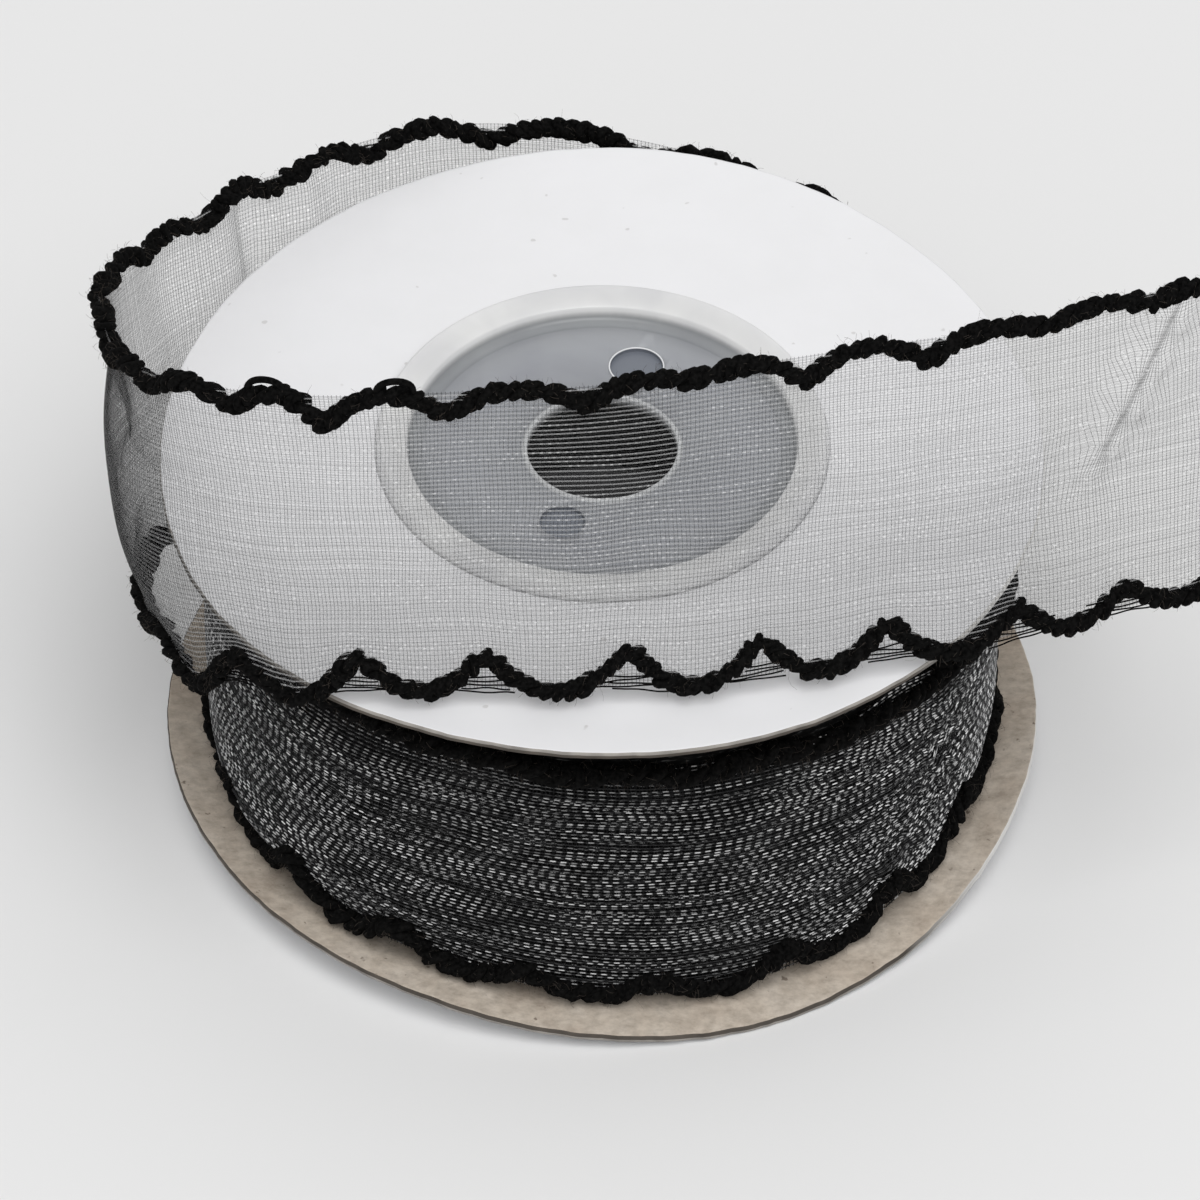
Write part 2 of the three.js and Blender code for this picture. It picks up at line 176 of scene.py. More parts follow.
def waves(seed, count, longest, shortest):
    """A repeatable uneven function of two lengths in millimetres, within about -1 to 1."""
    draw = np.random.default_rng(seed)
    lengths = np.exp(draw.uniform(math.log(shortest), math.log(longest), count))
    turns = draw.uniform(0, 2 * math.pi, (count, 2))

    def value(u, v):
        total = 0.0
        for length, (heading, phase) in zip(lengths, turns):
            run = u * math.cos(heading) + v * math.sin(heading)
            total = total + np.sin(2 * math.pi * run / length + phase)
        return total / math.sqrt(2 * count)

    return value


def ring_mesh(name, sections, materials, slots=None):
    """A closed ring of closed sections; slots gives each section edge its material."""
    count, points = len(sections), len(sections[0])
    faces = []
    for i in range(count):
        for j in range(points):
            k = (j + 1) % points
            here, there = i * points, ((i + 1) % count) * points
            faces.append((here + j, there + j, there + k, here + k))
    made = mesh_object(name, np.concatenate(sections), faces, materials)
    if slots:
        made.data.polygons.foreach_set("material_index", list(slots) * count)
    made.data.polygons.foreach_set("use_smooth", [True] * len(faces))
    made.data.update()
    return made


def around(azimuth, profile):
    """Points of (radius, height) pairs at an azimuth."""
    turn = math.radians(azimuth)
    return np.array([(r * math.cos(turn), r * math.sin(turn), z) for r, z in profile])


def node(tree, kind, settings=None, **inputs):
    """A node with its settings; an input, by name or as i and its number, takes a value or a socket."""
    made = tree.nodes.new(kind)
    for name, value in (settings or {}).items():
        setattr(made, name, value)
    for name, value in inputs.items():
        numbered = name[0] == "i" and name[1:].isdigit()
        socket = made.inputs[int(name[1:]) if numbered else name.replace("_", " ")]
        if isinstance(value, bpy.types.NodeSocket):
            tree.links.new(value, socket)
        else:
            socket.default_value = value
    return made


def ramp(tree, factor, stops):
    """A colour ramp through (position, colour) stops."""
    made = node(tree, "ShaderNodeValToRGB", i0=factor)
    elements = made.color_ramp.elements
    while len(elements) < len(stops):
        elements.new(0.5)
    for element, (position, color) in zip(elements, stops):
        element.position = position
        element.color = (*color, 1)
    return made.outputs["Color"]


def object_place(tree):
    """The place on the piece that a pattern reads."""
    return node(tree, "ShaderNodeTexCoord").outputs["Object"]


def noise(tree, place, scale, **inputs):
    return node(tree, "ShaderNodeTexNoise", Vector=place, Scale=scale, **inputs).outputs["Fac"]


def tinted(tree, ground, tint):
    """A colour multiplied by another."""
    settings = {"data_type": "RGBA", "blend_type": "MULTIPLY"}
    return node(tree, "ShaderNodeMix", settings, i0=1.0, i6=ground, i7=tint).outputs[2]


def surfaced(made, color, height=None, strength=0.0, depth=0.0):
    """Leads a colour, and a height where the surface is rough, into a material's shader."""
    tree = made.node_tree
    shader = tree.nodes["Principled BSDF"]
    tree.links.new(color, shader.inputs["Base Color"])
    if height is not None:
        relief = node(tree, "ShaderNodeBump", Strength=strength, Distance=depth, Height=height)
        tree.links.new(relief.outputs["Normal"], shader.inputs["Normal"])


paper = material("white_paper", (0.81, 0.81, 0.825), 0.55)
tree = paper.node_tree
place = object_place(tree)
faint = ramp(tree, noise(tree, place, 160.0, Detail=4.0), ((0.3, (0.80, 0.80, 0.812)), (0.7, (0.82, 0.82, 0.835))))
specks = ramp(tree, noise(tree, place, 650.0, Detail=1.0), ((0.205, (0.80, 0.79, 0.78)), (0.235, (1, 1, 1))))
surfaced(paper, tinted(tree, faint, specks), noise(tree, place, 900.0, Detail=3.0), 0.08, 0.0002)

chipboard = material("raw_chipboard", (0.52, 0.46, 0.39), 0.92)
tree = chipboard.node_tree
place = object_place(tree)
drawn_out = node(tree, "ShaderNodeMapping", Vector=place, Scale=(1.0, 1.4, 1.0)).outputs["Vector"]
fibre = noise(tree, drawn_out, 620.0, Detail=6.0, Roughness=0.7)
patches = ramp(
    tree, noise(tree, place, 130.0, Detail=5.0, Roughness=0.65),
    ((0.32, (0.47, 0.40, 0.33)), (0.5, (0.55, 0.485, 0.41)), (0.7, (0.61, 0.55, 0.48))),
)
fibres = ramp(tree, fibre, ((0.32, (0.72, 0.70, 0.68)), (0.62, (1.09, 1.08, 1.07))))
flecks = ramp(
    tree, noise(tree, place, 900.0, Detail=2.0, Roughness=0.6), ((0.25, (0.42, 0.39, 0.37)), (0.32, (1, 1, 1)))
)
surfaced(chipboard, tinted(tree, tinted(tree, patches, fibres), flecks), fibre, 0.4, 0.0003)


def cut_edge(name, color, blotch_color, roughness):
    """Blotched chipboard, turning pale at the right side, where light is painted on."""
    made = material(name, color, roughness)
    tree = made.node_tree
    place = object_place(tree)
    across = node(tree, "ShaderNodeSeparateXYZ", Vector=place).outputs["X"]
    right = node(tree, "ShaderNodeMapRange", Value=across, i1=spool_axis[0] + 0.030, i2=spool_axis[0] + 0.039)
    dark, light = (tuple(share * c for c in blotch_color) for share in (0.7, 1.25))
    blotches = ramp(tree, noise(tree, place, 420.0, Detail=3.0), ((0.3, dark), (0.7, light)))
    # The right side of the edge is painted pale, standing in for the light it catches there.
    painted_light_right = (0.72, 0.71, 0.69, 1.0)
    mixed = node(tree, "ShaderNodeMix", {"data_type": "RGBA"}, i0=right.outputs[0], i6=blotches, i7=painted_light_right)
    surfaced(made, mixed.outputs[2])
    return made


# The cut edge is smooth and grey on the paper's side and dark on the raw side. The dark half is painted shade: under
# the upper board's edge, and as a dark line along the top of the lower board's.
cut_smooth = cut_edge("cut_edge_smooth", (0.33, 0.31, 0.28), (0.31, 0.29, 0.265), 0.9)
cut_shaded = cut_edge("cut_edge_burred", (0.085, 0.072, 0.06), (0.085, 0.072, 0.06), 0.95)

board_sections = 360


def make_board(name, face_at, inward, seed):
    """inward is the way from the paper face to the raw face: 1 is up and -1 is down."""
    ragged = waves(seed, 14, 30, 2.0)
    nicks = waves(seed + 1, 10, 6, 1.0)
    face_radii = (board_hole_radius, flat_radius, 25, 29, 33, 36.5, 39.5, 42)
    sections = []
    for i in range(board_sections):
        azimuth = 360 * i / board_sections
        arc = math.radians(azimuth) * board_radius
        edge = board_radius + 0.07 * ragged(arc, 0) + 0.1 * min(0, nicks(arc, 0) + 0.9)
        rim = face_at(edge, azimuth)
        profile = [(radius, face_at(radius, azimuth)) for radius in (*face_radii, edge - 0.25, edge - 0.06)]
        for inset, depth in ((0.0, 0.1), (-0.02, 0.35), (0.03, 0.6), (0.0, 0.74)):
            profile.append((edge - inset + 0.03 * nicks(arc, 9 * depth), rim + inward * depth))
        for radius in (edge - 0.1, edge - 0.3, *face_radii[::-1]):
            depth = board_thickness + 0.02 * ragged(arc, radius)
            profile.append((radius, face_at(radius, azimuth) + inward * depth))
        sections.append(around(azimuth, profile if inward > 0 else profile[::-1]))
    # Along the profile from the hole: the paper, the smooth half and the painted-shade half of the cut, the raw face.
    paper_edges = len(face_radii) + 1
    edge_slots = [0] * paper_edges + [2] * 2 + [3] * 3
    edge_slots += [1] * (len(sections[0]) - len(edge_slots))
    slots = edge_slots if inward > 0 else edge_slots[-2::-1] + edge_slots[-1:]
    return ring_mesh(name, sections, [paper, chipboard, cut_smooth, cut_shaded], slots)


lower_board = make_board("lower_board", lower_board_at, 1, 11)
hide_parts("board_lower")
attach(lower_board, "root")

upper_board = make_board("upper_board", upper_board_at, -1, 23)
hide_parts("board_upper")
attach(upper_board, "root")

# Hub
# Two equal frosted plastic mouldings pressed into the boards' holes from outside, their barrels
# meeting halfway. Each has a dished lip, a thin web with a bore, and two round dimples.
lip_radius = 22.45
lip_height = 1.62
dish_radius = 19.15
barrel_radius = 18.6
barrel_wall = 1.0
bore_radius = 7.4
web_height = -0.3
web_thickness = 1.0
dimple_radii = (2.7, 2.25)
dimple_depth = 0.45
dimple_places = ((3.4, 11.9), (-3.9, -10.6))
barrel_end = -(upper_board_top - lower_board_underside) / 2 + 0.15


def reckoned(tree, operation, first, second):
    """One sum of two numbers."""
    return node(tree, "ShaderNodeMath", {"operation": operation}, i0=first, i1=second).outputs[0]


def reckoned_vector(tree, operation, first, second):
    return node(tree, "ShaderNodeVectorMath", {"operation": operation}, i0=first, i1=second).outputs[0]


plastic = material(
    "frosted_plastic", (0.5, 0.5, 0.5), 0.34,
    Subsurface_Weight=0.3, Subsurface_Radius=(1, 1, 1), Subsurface_Scale=0.0025,
)
tree = plastic.node_tree
place = object_place(tree)
centred = reckoned_vector(tree, "SUBTRACT", place, (*spool_axis, 0.0))
level = reckoned_vector(tree, "MULTIPLY", centred, (1.0, 1.0, 0.0))
radius = node(tree, "ShaderNodeVectorMath", {"operation": "LENGTH"}, i0=level).outputs["Value"]
ring_reach = 25
# Colour by radius. The pale band on the bead round the bore is a painted highlight, and the lip's outer wall is
# painted paler than the lip: painted light over its shade.
plastic_rings = (
    (bore_radius, (0.50, 0.51, 0.52)), (7.85, (0.46, 0.47, 0.48)), (8.0, (0.29, 0.30, 0.32)),
    (14.0, (0.33, 0.34, 0.365)), (17.55, (0.34, 0.35, 0.37)), (17.75, (0.29, 0.30, 0.315)),
    (19.1, (0.28, 0.29, 0.30)), (19.25, (0.72, 0.72, 0.72)), (20.2, (0.69, 0.69, 0.69)),
    (21.8, (0.69, 0.69, 0.695)), (22.1, (0.78, 0.78, 0.785)),
)
out = reckoned(tree, "MULTIPLY", radius, 1000 / ring_reach)
rings = ramp(tree, out, [(r / ring_reach, color) for r, color in plastic_rings])
smoke = noise(tree, place, 95.0, Detail=3.0, Distortion=0.8)
smoky = ramp(tree, smoke, ((0.3, (0.90, 0.90, 0.91)), (0.7, (1.07, 1.07, 1.06))))
surfaced(plastic, tinted(tree, rings, smoky), noise(tree, place, 1500.0, Detail=2.0), 0.05, 0.0001)

# The barrels are painted near black: painted shade inside the hub, seen down the bore.
barrel_plastic = material("barrel_plastic", (0.035, 0.036, 0.04), 0.5)
# The dimples' walls and floor are painted dark: painted shade in the recess.
dimple_plastic = material("dimple_plastic", (0.17, 0.185, 0.215), 0.3)
# A pale bead painted as a highlight along a dimple's edge.
rim_plastic = material("rim_plastic", (0.80, 0.81, 0.82), 0.3)

lathe_sections = 144


def lathe(name, profile, materials, slots=None, centre=(0.0, 0.0, 0.0), sections=lathe_sections):
    """A closed profile of (radius, height) pairs turned about a vertical axis."""
    rings = [around(360 * i / sections, profile) + np.array(centre) for i in range(sections)]
    return ring_mesh(name, rings, materials, slots)


def settled(obj):
    """Turns what the modifiers make into the object's own plain mesh."""
    evaluated = obj.evaluated_get(bpy.context.evaluated_depsgraph_get())
    mesh = bpy.data.meshes.new_from_object(evaluated)
    obj.modifiers.clear()
    old, obj.data = obj.data, mesh
    bpy.data.meshes.remove(old)
    return obj


def joined(target, others):
    """Adds the meshes of others, whose materials target already has, to target."""
    with bpy.context.temp_override(
        active_object=target, selected_objects=[target, *others], selected_editable_objects=[target, *others]
    ):
        bpy.ops.object.join()
    return target


def make_hub(name, face, outward):
    """outward is 1 for the upper hub, whose lip stands up, and -1 for the lower one."""
    under = web_height - web_thickness
    profile = (
        (bore_radius, under), (bore_radius, web_height + 0.08), (7.48, web_height + 0.17),
        (7.63, web_height + 0.21), (7.78, web_height + 0.17), (7.9, web_height), (10.5, web_height),
        (15.0, web_height), (17.6, web_height), (17.7, web_height - 0.1), (18.75, web_height - 0.1),
        (18.95, web_height + 0.05), (dish_radius, 0.0), (19.3, 0.85), (19.5, 0.98),
        (21.4, lip_height - 0.06), (21.62, lip_height), (21.8, lip_height), (21.95, lip_height - 0.15),
        (22.1, 1.1), (22.28, 0.5), (lip_radius, 0.03), (dish_radius + 0.17, 0.06),
        (dish_radius + 0.17, under), (barrel_radius, under - 0.2), (barrel_radius, barrel_end),
        (barrel_radius - barrel_wall, barrel_end), (barrel_radius - barrel_wall, under - 0.2), (17.4, under),
    )
    barrel_edges = range(len(profile) - 7, len(profile))
    slots = [1 if j in barrel_edges else 0 for j in range(len(profile))]
    heights = [(r, face + outward * z) for r, z in profile]
    if outward > 0:
        heights = heights[::-1]
        slots = slots[-2::-1] + slots[-1:]
    hub = lathe(name, heights, [plastic, barrel_plastic, dimple_plastic, rim_plastic], slots)
    rims = []
    for (x, upper_y), dimple_radius in zip(dimple_places, dimple_radii):
        y = outward * upper_y
        depths = [face + outward * z for z in (web_height - dimple_depth, web_height + 1.0)]
        bottom, top = min(depths), max(depths)
        turns = np.arange(48) * math.pi / 24
        wall = [(dimple_radius * math.cos(a), dimple_radius * math.sin(a)) for a in turns]
        points = [(x + u, y + v, z) for z in (bottom, top) for u, v in wall]
        count = len(wall)
        faces = [tuple(range(count - 1, -1, -1)), tuple(range(count, 2 * count))]
        faces += [(k, (k + 1) % count, count + (k + 1) % count, count + k) for k in range(count)]
        cutter = mesh_object("dimple_cutter", points, faces, [dimple_plastic])
        cut = hub.modifiers.new("dimple", "BOOLEAN")
        cut.operation = "DIFFERENCE"
        cut.solver = "EXACT"
        cut.material_mode = "TRANSFER"
        cut.object = cutter
        settled(hub)
        bpy.data.objects.remove(cutter)
        bead = [
            (dimple_radius + 0.08 * math.cos(a), face + outward * (web_height + 0.02) + 0.08 * math.sin(a))
            for a in np.arange(8) * math.pi / 4
        ]
        # Only the upper dimple gets the bead, a painted highlight on its edge.
        if upper_y > 0:
            rims.append(lathe("dimple_rim", bead[::-1], [rim_plastic], None, (x, y, 0.0), 48))
    return joined(hub, rims)


for name, node_name, face, outward in (
    ("lower_hub", "hub_lower", lower_board_underside, -1),
    ("upper_hub", "hub_upper", upper_board_top, 1),
):
    hub = make_hub(name, face, outward)
    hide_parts(node_name)
    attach(hub, "root")


# Wound ribbon
# About a dozen turns of sheer black organza, a plain weave of one fine shiny thread each way. The
# two outermost turns are woven here thread by thread, over a core that stands for those inside.
row_pitch = 0.515
column_pitch = 0.39
crest_width = 33.6
winding_outer = 40.0
edging_radius = 39.4
inner_edge_radius = 39.0
second_turn_inset = 0.42
glint_pitch = 1.05
scallops_per_turn = 19
notch_depth = 4.0
notch_power = 1.2
yarn_radius = 1.2
edge_gap = 0.3
bulge_rise = 6.0
lower_phase = 0.34
upper_phase = 0.05
# How far the upper edge of the outer turn has slipped down from the board, by azimuth.
upper_slip = (
    (0, 7.6), (14, 3.5), (40, 0.9), (100, 0.6), (150, 0.8), (195, 2.0), (230, 3.6), (250, 3.7), (275, 4.7),
    (292, 4.9), (306, 6.1), (322, 7.4), (338, 8.6), (350, 9.2), (358, 8.0),
)


def notch_shape(t):
    """1 at a notch and 0 halfway to the next one, with a rounded peak."""
    return ((1.04 - np.sqrt(np.sin(np.pi * t) ** 2 + 0.03)) / 0.867).clip(0) ** notch_power


def winding_dip(azimuth, phase):
    turn = azimuth / 360 * scallops_per_turn + phase
    share = 0.75 + 0.25 * np.sin(5.1 * np.floor(turn + 0.5) + 9 * phase)
    return notch_depth * share * notch_shape(turn)


def lower_crest_height(azimuth):
    return lower_board_at(edging_radius, azimuth) + board_thickness + edge_gap + yarn_radius


def inner_edge_height(azimuth):
    """The yarn of the turns inside has kept its place just below the board."""
    return upper_board_at(38.3, azimuth) - board_thickness - edge_gap - yarn_radius - 0.2


def upper_crest_height(azimuth):
    top = upper_board_at(edging_radius, azimuth) - board_thickness - edge_gap - yarn_radius
    return top - height_at(upper_slip, azimuth)


def second_crest_height(azimuth):
    """The second turn stands a little higher at the front right."""
    return upper_crest_height(azimuth) + 1.8 * math.exp(-(((azimuth - 318) / 8) ** 2))


def squeeze(azimuth):
    """How much nearer the axis the winding lies at its two sides than at its front and back."""
    return 0.75 * np.cos(np.radians(azimuth)) ** 4


def flare(azimuth):
    """How far the slipped edge stands out at the right."""
    return 1.8 * np.exp(-((((azimuth - 168) % 360 - 180) / 15) ** 2))


wrinkle = waves(41, 9, 45, 9)
drift = waves(43, 9, 60, 12)
crumple = waves(47, 12, 7, 1.9)
crest_azimuths = np.arange(0, 361, 2)
lower_crests = np.array([lower_crest_height(a) for a in crest_azimuths])
upper_crests = np.array([upper_crest_height(a) for a in crest_azimuths])
second_crests = np.array([second_crest_height(a) for a in crest_azimuths])


def bunched(azimuth, share):
    """How much the cloth has bunched up: only in a slanting patch at the front right."""
    beside = (azimuth % 360) - 318 - 14 * share
    return np.exp(-((beside / 12) ** 2)) * np.sin(np.pi * np.clip(share, 0, 1)) ** 0.6


def winding_points(azimuth, share, inset, crests):
    """Points on the wound cloth: share runs from 0 at the lower yarn edge to 1 at the upper one."""
    low = np.interp(azimuth % 360, crest_azimuths, lower_crests)
    high = np.interp(azimuth % 360, crest_azimuths, crests)
    height = low + (high - low) * share
    turn = np.radians(azimuth)
    oval = 0.25 * np.sin(2 * turn + 0.52) + 0.15 * np.sin(5 * turn)
    taper = bulge_rise - 3.0 * np.exp(-(((azimuth % 360 - 205) / 22) ** 2))
    edge = np.minimum(1, np.minimum(height - low, high - height).clip(0) / taper)
    rise = edge * edge * (3 - 2 * edge)
    seam = np.minimum(1, (180 - np.abs((azimuth % 360) - 180)) / 6)
    ripple = 0.16 * wrinkle(turn * winding_outer, 1.4 * height) * seam
    ripple = ripple + 0.3 * bunched(azimuth, share) * crumple(turn * winding_outer, 1.6 * height)
    radius = edging_radius + (winding_outer - edging_radius + oval + ripple) * rise - inset - squeeze(azimuth)
    radius = radius + flare(azimuth) * np.clip(share, 0, 1) ** 3
    radius = radius + 0.5 * np.exp(-(((azimuth % 360 - 204) / 16) ** 2)) * np.clip(1 - share, 0, 1)
    return np.stack([radius * np.cos(turn), radius * np.sin(turn), height], -1)


core = material("inner_turns", (0.004, 0.004, 0.0045), 0.9, Specular_IOR_Level=0.1)
tree = core.node_tree
flat = node(tree, "ShaderNodeMapping", Vector=object_place(tree), Scale=(1.0, 1.0, 5.0))
deep = noise(tree, flat.outputs["Vector"], 620.0, Detail=2.0, Roughness=0.6)
depths = ramp(
    tree, deep, ((0.5, (0.003, 0.003, 0.003)), (0.62, (0.012, 0.012, 0.012)), (0.72, (0.09, 0.09, 0.09)))
)
surfaced(core, depths)

core_inner = 19.2
core_outer = 38.2
core_sections = []
for azimuth in np.arange(0, 360, 2.0):
    floor = lower_board_at(core_outer, azimuth) + board_thickness + 0.3
    ceiling = upper_board_at(core_outer, azimuth) - board_thickness - 0.3
    profile = [
        (core_inner, lower_board_at(core_inner, azimuth) + 1.1), (core_outer - 1, floor),
        (core_outer, floor + 1.5), (core_outer, ceiling - 1.5), (core_outer - 1, ceiling),
        (core_inner, upper_board_at(core_inner, azimuth) - 1.1),
    ]
    core_sections.append(around(azimuth, profile))
winding_core = ring_mesh("wound_core", core_sections, [core])


shine_reach = 400.0


def thread_material(name, dull, bright, cell, power, shine, **sockets):
    """Shiny thread from the weave attribute: cells along it, its number, and a third for the layer. In
    each cell a glint, a highlight painted into the colour, stands where cell says, as strong as chance
    gives it. shine is painted light and shade: it brightens or dims the thread from the cells it names on, since it
    catches the light unequally as the cloth turns."""
    made = material(name, dull, 0.4, **sockets)
    tree = made.node_tree
    weave = node(tree, "ShaderNodeAttribute", {"attribute_name": "weave"}).outputs["Vector"]
    parts = node(tree, "ShaderNodeSeparateXYZ", Vector=weave).outputs
    whole = node(tree, "ShaderNodeMath", {"operation": "FLOOR"}, i0=parts["X"]).outputs[0]
    inside = node(tree, "ShaderNodeMath", {"operation": "FRACT"}, i0=parts["X"]).outputs[0]
    start, full, end, stop = cell
    crown = ramp(tree, inside, ((start, (0, 0, 0)), (full, (1, 1, 1)), (end, (1, 1, 1)), (stop, (0, 0, 0))))
    spot = node(tree, "ShaderNodeCombineXYZ", X=whole, Y=parts["Y"], Z=parts["Z"]).outputs[0]
    chance = node(tree, "ShaderNodeTexWhiteNoise", {"noise_dimensions": "3D"}, Vector=spot)
    chosen = reckoned(tree, "POWER", chance.outputs["Value"], power)
    drawn = reckoned_vector(tree, "MULTIPLY", weave, (0.04, 0.42, 1.0))
    streaks = noise(tree, drawn, 1.0, Detail=3.0, Roughness=0.65)
    streak = ramp(tree, streaks, ((0.40, (0.05, 0.05, 0.05)), (0.57, (1, 1, 1))))
    # The glint is a painted highlight in the base colour.
    glint = reckoned(tree, "MULTIPLY", reckoned(tree, "MULTIPLY", crown, chosen), streak)
    color = ramp(tree, glint, ((0.0, dull), (0.3, tuple(0.45 * c for c in bright)), (0.8, bright)))
    # The shine level is painted light and shade along the thread.
    reach = reckoned(tree, "DIVIDE", parts["X"], shine_reach)
    level = ramp(tree, reach, [(first / shine_reach, (value, value, value)) for first, value in shine])
    lit = reckoned_vector(tree, "MULTIPLY", color, level)
    doubled = node(tree, "ShaderNodeVectorMath", {"operation": "SCALE"}, i0=lit, Scale=2.0)
    surfaced(made, doubled.outputs[0])
    return made


# Its glints are painted highlights, and its shine levels are painted light: dimmer across the front of the roll,
# brighter at the front right.
wound_lengthwise = thread_material(
    "wound_lengthwise_thread", (0.015, 0.015, 0.016), (1.0, 1.0, 1.0), (0.0, 0.1, 0.48, 0.64), 1.3,
    ((0, 0.5), (125, 0.47), (150, 0.5), (168, 0.37), (192, 0.37), (206, 0.56), (230, 0.6)), Specular_IOR_Level=0.2
)
crosswise = material("crosswise_thread", (0.012, 0.012, 0.0125), 0.6, Specular_IOR_Level=0.1)


def tree_of(name, inputs):
    """An empty geometry node tree with these named inputs, its group input and its output."""
    made = bpy.data.node_groups.new(name, "GeometryNodeTree")
    made.interface.new_socket("Geometry", in_out="INPUT", socket_type="NodeSocketGeometry")
    made.interface.new_socket("Geometry", in_out="OUTPUT", socket_type="NodeSocketGeometry")
    for label, kind in inputs:
        made.interface.new_socket(label, in_out="INPUT", socket_type="NodeSocket" + kind)
    given = made.nodes.new("NodeGroupInput")
    return made, given.outputs


def finished_tree(tree, geometry, given):
    """Ends a tree in one smooth realised mesh with its material."""
    real = node(tree, "GeometryNodeRealizeInstances", i0=geometry)
    smooth = node(tree, "GeometryNodeSetShadeSmooth", i0=real.outputs[0])
    coated = node(tree, "GeometryNodeSetMaterial", Geometry=smooth.outputs[0], Material=given["Material"])
    end = tree.nodes.new("NodeGroupOutput")
    tree.links.new(coated.outputs[0], end.inputs[0])
    return tree


def grown(obj, tree, **values):
    """Runs a geometry node tree on an object and keeps what it makes as a plain mesh."""
    modifier = obj.modifiers.new(tree.name, "NODES")
    modifier.node_group = tree
    for item in tree.interface.items_tree:
        label = item.name.replace(" ", "_")
        if item.in_out == "INPUT" and label in values:
            modifier[item.identifier] = values[label]
    return settled(obj)


# Each thread is a round of few sides along its guide line.
thread_tree, given = tree_of("threads", (("Thread radius", "Float"), ("Sides", "Int"), ("Material", "Material")))
guide = node(thread_tree, "GeometryNodeMeshToCurve", i0=given["Geometry"])
outline = node(
    thread_tree, "GeometryNodeCurvePrimitiveCircle", Resolution=given["Sides"], Radius=given["Thread radius"]
)
swept = node(
    thread_tree, "GeometryNodeCurveToMesh", Curve=guide.outputs[0], Profile_Curve=outline.outputs[0], Fill_Caps=True
)
finished_tree(thread_tree, swept.outputs[0], given)


def guide_lines(name, lines):
    """An object of loose edges. Each line is (points, weave values, closed)."""
    points, weaves, edges = [], [], []
    for path, woven, closed in lines:
        start, count = len(points), len(path)
        points.extend(path)
        weaves.extend(woven)
        edges += [(start + k, start + k + 1) for k in range(count - 1)]
        if closed:
            edges.append((start + count - 1, start))
    mesh = bpy.data.meshes.new(name)
    mesh.from_pydata(on_spool(points).tolist(), edges, [])
    attribute = mesh.attributes.new("weave", "FLOAT_VECTOR", "POINT")
    attribute.data.foreach_set("vector", np.asarray(weaves, np.float32).ravel())
    made = bpy.data.objects.new(name, mesh)
    scene.collection.objects.link(made)
    return made


coarse_azimuths = np.linspace(0, 360, 91)
fine_azimuths = np.concatenate([np.linspace(0, 288, 73), np.linspace(289, 354, 82), [357, 360]])


def wound_rows(inset, layer, seed, azimuth, crests):
    """Guide lines of one turn's lengthwise threads."""
    draw = np.random.default_rng(seed)
    rows = round(crest_width / row_pitch)
    count = len(azimuth)
    pairs = 0.5 * (np.arange(rows) % 2) + draw.normal(0, 0.13, rows)
    lines = []
    for row in range(rows + 1):
        share = (row + draw.uniform(-0.2, 0.2)) / rows
        free = math.sin(math.pi * min(1, max(0, share)))
        arc = np.radians(azimuth) * winding_outer
        sway = 0.014 * drift(arc, 40 * share + 30 * inset) * free
        sway = sway + 0.018 * bunched(azimuth, share) * crumple(arc + 90, 34 * share)
        path = winding_points(azimuth, share + sway, inset - 0.04, crests)
        cells = arc / glint_pitch + pairs[row // 2] + draw.uniform(-0.1, 0.1)
        lines.append((path, np.stack([cells, np.full(count, row), np.full(count, layer)], -1), False))
    return lines


def wound_columns(inset, layer, seed, crests):
    """Guide lines of one turn's crosswise threads."""
    draw = np.random.default_rng(seed)
    columns = round(2 * math.pi * winding_outer / column_pitch)
    share = np.linspace(-0.012, 1.012, 9)
    lines = []
    for column in range(columns):
        azimuth = (column + draw.uniform(-0.2, 0.2)) / columns * 360 + layer
        sway = 1.5 * drift(40 * share + 200 + column / 3, azimuth / 6 + 30 * inset)
        sway = sway * np.sin(np.pi * share.clip(0, 1))
        path = winding_points(azimuth + sway, share, inset + 0.04, crests)
        lines.append((path, np.tile((0.0, column, layer), (9, 1)), False))
    return lines


wound_lines = wound_rows(0.0, 0, 51, fine_azimuths, upper_crests)
wound_lines += wound_rows(second_turn_inset, 7, 52, coarse_azimuths, second_crests)
wound_cloth = grown(
    guide_lines("wound_cloth", wound_lines), thread_tree, Thread_radius=0.073e-3, Sides=3, Material=wound_lengthwise
)
weft_lines = wound_columns(0.0, 0.0, 53, upper_crests)
weft_lines += wound_columns(second_turn_inset, 0.4, 54, second_crests)
wound_weft = grown(
    guide_lines("wound_weft", weft_lines), thread_tree, Thread_radius=0.05e-3, Sides=3, Material=crosswise
)
joined(wound_cloth, [wound_weft])
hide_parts("winding")
for piece in (wound_cloth, winding_core):
    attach(piece, "root")


# Crocheted yarn edge of the wound ribbon
# Thick soft black yarn, crocheted over both edges of the ribbon in scallops of 13 mm. It is a chain
# of overlapping loops, drawn in where two scallops meet, and it is fuzzy all over.
yarn = material("crochet_yarn", (0.002, 0.002, 0.002), 1.0, Specular_IOR_Level=0.06)
tree = yarn.node_tree
lint = noise(tree, object_place(tree), 2600.0, Detail=3.0)
black = ramp(tree, lint, ((0.35, (0.0012, 0.0012, 0.0012)), (0.72, (0.0075, 0.0072, 0.007))))
surfaced(yarn, black, lint, 0.7, 0.0002)
fuzz = material("yarn_fuzz", (0.085, 0.072, 0.062), 1.0, Specular_IOR_Level=0.1)

